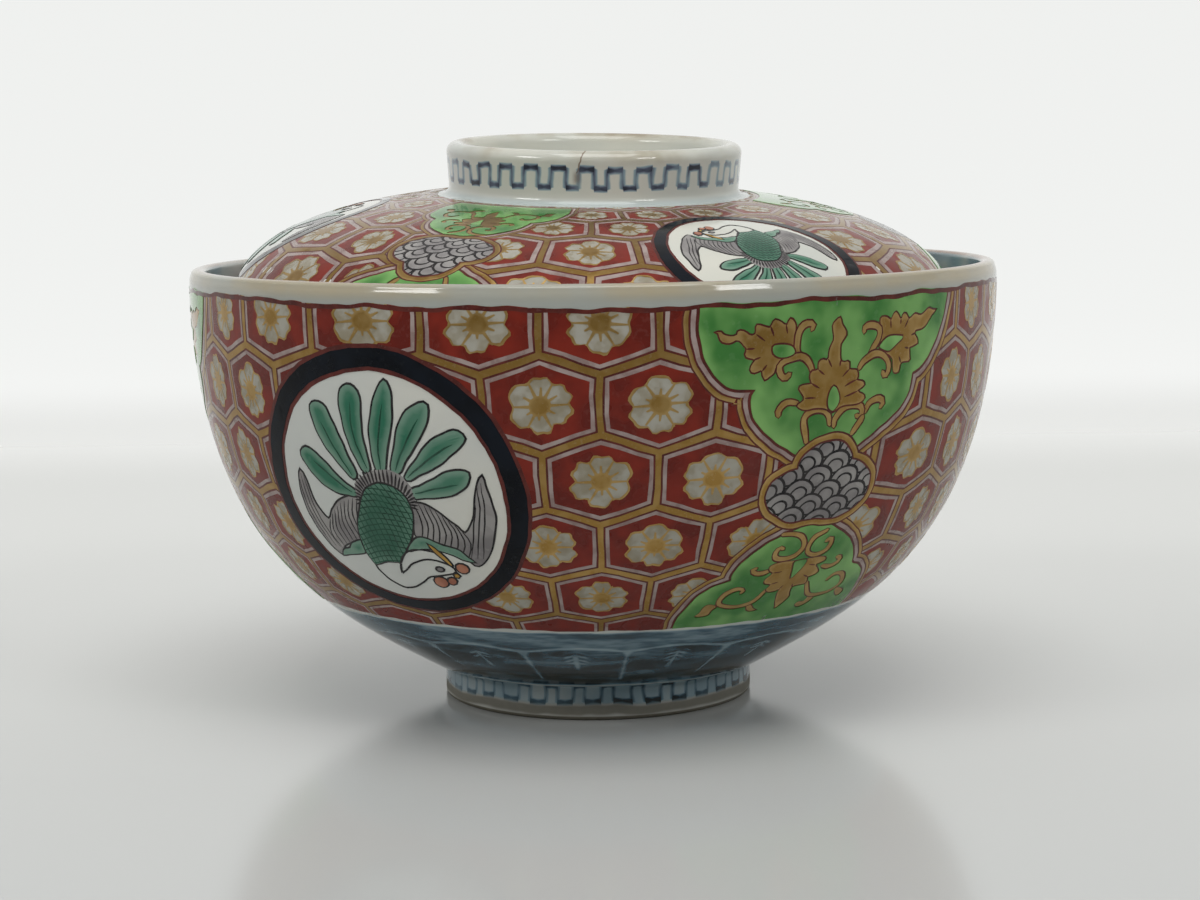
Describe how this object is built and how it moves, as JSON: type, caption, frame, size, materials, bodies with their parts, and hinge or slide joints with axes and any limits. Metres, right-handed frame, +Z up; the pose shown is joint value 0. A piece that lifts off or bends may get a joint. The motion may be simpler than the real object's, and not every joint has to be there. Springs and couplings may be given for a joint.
{
  "type": "lidded bowl",
  "caption": "Round footed porcelain bowl with a domed lid on a ring grip, covered in enamelled hexagons, phoenix roundels and scroll panels; holds rice or soup and keeps it warm.",
  "frame": {"origin": "under the middle of the foot ring, on the surface that the bowl stands on", "axes": "+Z up, -Y towards the front, the side with a phoenix roundel on the left and a green panel on the right"},
  "size_m": [0.115, 0.115, 0.0808],
  "materials": {
    "bowl_porcelain": "glossy clear glaze on white porcelain, with red, green, gold and black enamels over underglaze blue",
    "lid_porcelain": "glossy clear glaze on white porcelain, with red, green, gold and black enamels over underglaze blue"
  },
  "bodies": {
    "bowl_body": {"bowl": "bowl_porcelain"},
    "lid_body": {"lid": "lid_porcelain"}
  },
  "joints": [
    {"name": "lid_lift", "type": "slide", "parent": "bowl_body", "child": "lid_body", "axis": [0, 0, 1], "range_m": [0, 0.1]}
  ]
}
